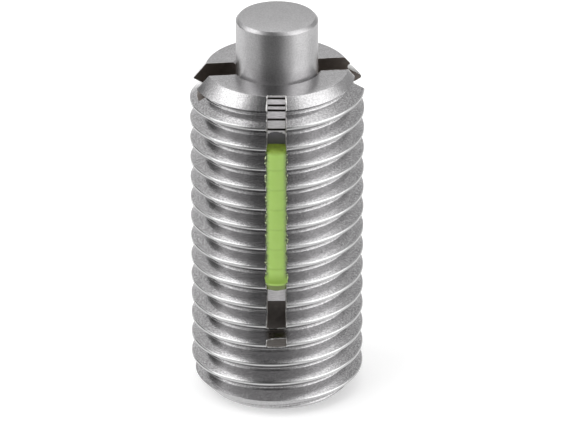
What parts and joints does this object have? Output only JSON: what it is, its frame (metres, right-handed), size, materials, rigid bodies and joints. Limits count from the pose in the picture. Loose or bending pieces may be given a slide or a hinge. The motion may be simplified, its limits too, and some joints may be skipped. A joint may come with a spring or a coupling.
{
  "type": "spring plunger",
  "caption": "Threaded steel sleeve with a sprung round pin at the front, a hexagon socket plug at the rear, a driver slot and a nylon locking strip.",
  "frame": {"origin": "centre of the sleeve's flat rear face, on the thread axis", "axes": "+Z along the thread axis towards the pin's nose; -Y is the side with the locking strip"},
  "size_m": [0.016, 0.0163, 0.037],
  "materials": {
    "sleeve_steel": "rolled thread, turned faces, bright",
    "pin_steel": "hardened and ground, satin",
    "spring_wire": "cold drawn stainless spring wire",
    "plug_steel": "turned, matt",
    "green_nylon": "pressed nylon, satin"
  },
  "bodies": {
    "sleeve": {"threaded_body": "sleeve_steel", "socket_plug": "plug_steel", "locking_strip": "green_nylon"},
    "spring": {"compression_spring": "spring_wire"},
    "pin": {"thrust_pin": "pin_steel"}
  },
  "joints": [
    {"name": "plunger_slide", "type": "slide", "parent": "sleeve", "child": "spring", "axis": [0, 0, 1], "range_m": [-0.005, 0], "stiffness_N_per_m": 11600, "deforming": ["compression_spring"]},
    {"name": "pin_swivel", "type": "hinge", "parent": "spring", "child": "pin", "pos_m": [0, 0, 0.032], "axis": [0, 0, 1], "continuous": true}
  ]
}
